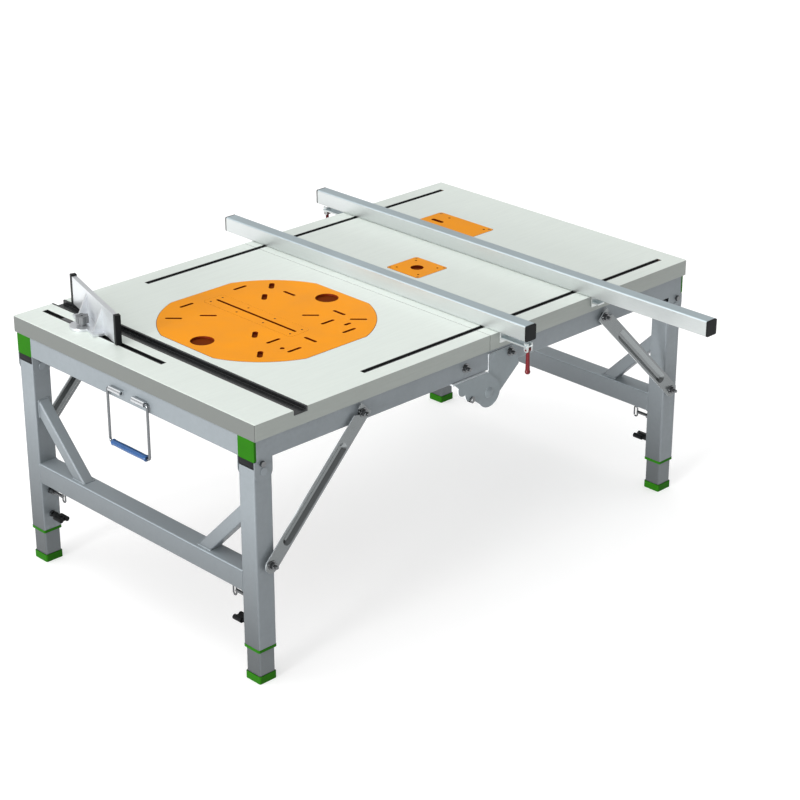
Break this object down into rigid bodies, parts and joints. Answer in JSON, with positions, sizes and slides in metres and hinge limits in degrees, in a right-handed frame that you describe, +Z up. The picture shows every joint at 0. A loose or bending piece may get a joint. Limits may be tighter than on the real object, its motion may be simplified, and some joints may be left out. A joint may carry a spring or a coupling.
{
  "type": "folding workbench",
  "caption": "Folding workbench with a hinged top, folding legs with telescopic feet, braces, tool plates, sliding fences, an angle gauge and a carry handle.",
  "frame": {"origin": "middle of the whole object's footprint, on the floor", "axes": "+X along the side rails, from the end with the carry handle to the end without; +Y across the top, from the side in front in the picture to the side behind; +Z up"},
  "size_m": [1.412, 1.302, 0.6943],
  "materials": {
    "board": "satin laminate",
    "frame_steel": "silver paint, satin",
    "inner_steel": "bare zinc-plated tube",
    "leaf_steel": "pressed plate, dull zinc",
    "brace_steel": "pressed strip, zinc",
    "fasteners": "bright plated",
    "green_plastic": "moulded",
    "orange_plate": "smooth enamel",
    "black_track": "dull black",
    "fence_aluminium": "drawn, satin",
    "black_plastic": "moulded",
    "red_plastic": "glossy",
    "gauge_aluminium": "satin",
    "grey_plastic": "moulded",
    "handle_steel": "bright plated wire",
    "blue_grip": "moulded sleeve"
  },
  "bodies": {
    "left_half": {"left_board": "board", "left_side_rails": "frame_steel", "left_cross_rails": "frame_steel", "left_rail_plugs": "green_plastic", "left_hinge_leaves": "leaf_steel", "saw_plate": "orange_plate", "saw_insert": "orange_plate", "left_tracks": "black_track", "left_frame_bolts": "fasteners", "hinge_pins": "fasteners"},
    "right_half": {"right_board": "board", "right_side_rails": "frame_steel", "right_cross_rails": "frame_steel", "right_rail_plugs": "green_plastic", "right_hinge_leaves": "leaf_steel", "router_plate": "orange_plate", "jigsaw_plate": "orange_plate", "right_tracks": "black_track", "right_frame_bolts": "fasteners"},
    "left_legs": {"left_leg_tubes": "frame_steel", "left_leg_crossbar": "frame_steel", "left_leg_collars": "green_plastic", "left_leg_bolts": "fasteners"},
    "brace_left_near": {"brace_left_near": "brace_steel"},
    "brace_left_far": {"brace_left_far": "brace_steel"},
    "inner_left_near": {"inner_leg_left_near": "inner_steel", "foot_left_near": "green_plastic"},
    "pin_left_near": {"lock_pin_left_near": "fasteners"},
    "knob_left_near": {"lock_knob_left_near": "black_plastic"},
    "inner_left_far": {"inner_leg_left_far": "inner_steel", "foot_left_far": "green_plastic"},
    "pin_left_far": {"lock_pin_left_far": "fasteners"},
    "knob_left_far": {"lock_knob_left_far": "black_plastic"},
    "right_legs": {"right_leg_tubes": "frame_steel", "right_leg_crossbar": "frame_steel", "right_leg_collars": "green_plastic", "right_leg_bolts": "fasteners"},
    "brace_right_near": {"brace_right_near": "brace_steel"},
    "brace_right_far": {"brace_right_far": "brace_steel"},
    "inner_right_near": {"inner_leg_right_near": "inner_steel", "foot_right_near": "green_plastic"},
    "pin_right_near": {"lock_pin_right_near": "fasteners"},
    "knob_right_near": {"lock_knob_right_near": "black_plastic"},
    "inner_right_far": {"inner_leg_right_far": "inner_steel", "foot_right_far": "green_plastic"},
    "pin_right_far": {"lock_pin_right_far": "fasteners"},
    "knob_right_far": {"lock_knob_right_far": "black_plastic"},
    "fence_1": {"fence_1_rail": "fence_aluminium", "fence_1_caps": "black_plastic"},
    "lever_1": {"fence_1_lever": "red_plastic"},
    "fence_2": {"fence_2_rail": "fence_aluminium", "fence_2_caps": "black_plastic"},
    "lever_2": {"fence_2_lever": "red_plastic"},
    "gauge_slide_bar": {"gauge_guide": "fasteners"},
    "gauge_turning_head": {"gauge_head": "gauge_aluminium", "gauge_fence": "gauge_aluminium", "gauge_caps": "black_plastic"},
    "gauge_clamp_knob": {"gauge_knob": "grey_plastic"},
    "carry_handle": {"handle_bail": "handle_steel", "handle_grip": "blue_grip"}
  },
  "joints": [
    {"name": "centre_fold", "type": "hinge", "parent": "left_half", "child": "right_half", "pos_m": [0.00605, 0.124, 0.482], "axis": [0, 1, 0], "range_deg": [0, 100]},
    {"name": "leg_fold_left", "type": "hinge", "parent": "left_half", "child": "left_legs", "pos_m": [-0.66655, 0.124, 0.508], "axis": [0, -1, 0], "range_deg": [0, 90]},
    {"name": "brace_swing_left_near", "type": "hinge", "parent": "left_legs", "child": "brace_left_near", "pos_m": [-0.65755, -0.3023, 0.287], "axis": [0, 1, 0], "range_deg": [0, 135.5]},
    {"name": "brace_swing_left_far", "type": "hinge", "parent": "left_legs", "child": "brace_left_far", "pos_m": [-0.65755, 0.5503, 0.287], "axis": [0, 1, 0], "range_deg": [0, 135.5]},
    {"name": "leg_slide_left_near", "type": "slide", "parent": "left_legs", "child": "inner_left_near", "axis": [0, 0, 1], "range_m": [-0.24, 0]},
    {"name": "pin_pull_left_near", "type": "slide", "parent": "left_legs", "child": "pin_left_near", "axis": [0, 1, 0], "range_m": [0, 0.012], "stiffness_N_per_m": 600, "springref_m": -0.01},
    {"name": "knob_turn_left_near", "type": "hinge", "parent": "left_legs", "child": "knob_left_near", "pos_m": [-0.66655, -0.216, 0.125], "axis": [0, 1, 0], "continuous": true},
    {"name": "leg_slide_left_far", "type": "slide", "parent": "left_legs", "child": "inner_left_far", "axis": [0, 0, 1], "range_m": [-0.24, 0]},
    {"name": "pin_pull_left_far", "type": "slide", "parent": "left_legs", "child": "pin_left_far", "axis": [0, -1, 0], "range_m": [0, 0.012], "stiffness_N_per_m": 600, "springref_m": -0.01},
    {"name": "knob_turn_left_far", "type": "hinge", "parent": "left_legs", "child": "knob_left_far", "pos_m": [-0.66655, 0.464, 0.125], "axis": [0, 1, 0], "continuous": true},
    {"name": "leg_fold_right", "type": "hinge", "parent": "right_half", "child": "right_legs", "pos_m": [0.67865, 0.124, 0.508], "axis": [0, 1, 0], "range_deg": [0, 90]},
    {"name": "brace_swing_right_near", "type": "hinge", "parent": "right_legs", "child": "brace_right_near", "pos_m": [0.66965, -0.3023, 0.287], "axis": [0, -1, 0], "range_deg": [0, 135.5]},
    {"name": "brace_swing_right_far", "type": "hinge", "parent": "right_legs", "child": "brace_right_far", "pos_m": [0.66965, 0.5503, 0.287], "axis": [0, -1, 0], "range_deg": [0, 135.5]},
    {"name": "leg_slide_right_near", "type": "slide", "parent": "right_legs", "child": "inner_right_near", "axis": [0, 0, 1], "range_m": [-0.24, 0]},
    {"name": "pin_pull_right_near", "type": "slide", "parent": "right_legs", "child": "pin_right_near", "axis": [0, 1, 0], "range_m": [0, 0.012], "stiffness_N_per_m": 600, "springref_m": -0.01},
    {"name": "knob_turn_right_near", "type": "hinge", "parent": "right_legs", "child": "knob_right_near", "pos_m": [0.67865, -0.216, 0.125], "axis": [0, 1, 0], "continuous": true},
    {"name": "leg_slide_right_far", "type": "slide", "parent": "right_legs", "child": "inner_right_far", "axis": [0, 0, 1], "range_m": [-0.24, 0]},
    {"name": "pin_pull_right_far", "type": "slide", "parent": "right_legs", "child": "pin_right_far", "axis": [0, -1, 0], "range_m": [0, 0.012], "stiffness_N_per_m": 600, "springref_m": -0.01},
    {"name": "knob_turn_right_far", "type": "hinge", "parent": "right_legs", "child": "knob_right_far", "pos_m": [0.67865, 0.464, 0.125], "axis": [0, 1, 0], "continuous": true},
    {"name": "fence_slide_1", "type": "slide", "parent": "right_half", "child": "fence_1", "axis": [1, 0, 0], "range_m": [-0.28, 0.26]},
    {"name": "lever_swing_1", "type": "hinge", "parent": "fence_1", "child": "lever_1", "pos_m": [0.04605, -0.38, 0.6], "axis": [-1, 0, 0], "range_deg": [0, 95]},
    {"name": "fence_slide_2", "type": "slide", "parent": "right_half", "child": "fence_2", "axis": [1, 0, 0], "range_m": [-0.24, 0.275]},
    {"name": "lever_swing_2", "type": "hinge", "parent": "fence_2", "child": "lever_2", "pos_m": [0.35905, 0.628, 0.6], "axis": [1, 0, 0], "range_deg": [0, 95]},
    {"name": "gauge_slide", "type": "slide", "parent": "left_half", "child": "gauge_slide_bar", "axis": [0, 1, 0], "range_m": [-0.2, 0.06]},
    {"name": "gauge_turn", "type": "hinge", "parent": "gauge_slide_bar", "child": "gauge_turning_head", "pos_m": [-0.62195, 0.379, 0.625], "axis": [0, 0, 1], "range_deg": [-28, 62]},
    {"name": "gauge_knob_turn", "type": "hinge", "parent": "gauge_slide_bar", "child": "gauge_clamp_knob", "pos_m": [-0.62195, 0.379, 0.641], "axis": [0, 0, 1], "continuous": true},
    {"name": "handle_swing", "type": "hinge", "parent": "left_half", "child": "carry_handle", "pos_m": [-0.69805, 0.1225, 0.556], "axis": [0, 1, 0], "range_deg": [0, 175]}
  ],
  "couplings": [
    {"joint": "brace_swing_left_near", "follows": "leg_fold_left", "ratio": 1.5035},
    {"joint": "brace_swing_left_far", "follows": "leg_fold_left", "ratio": 1.5035},
    {"joint": "brace_swing_right_near", "follows": "leg_fold_right", "ratio": 1.5035},
    {"joint": "brace_swing_right_far", "follows": "leg_fold_right", "ratio": 1.5035}
  ]
}
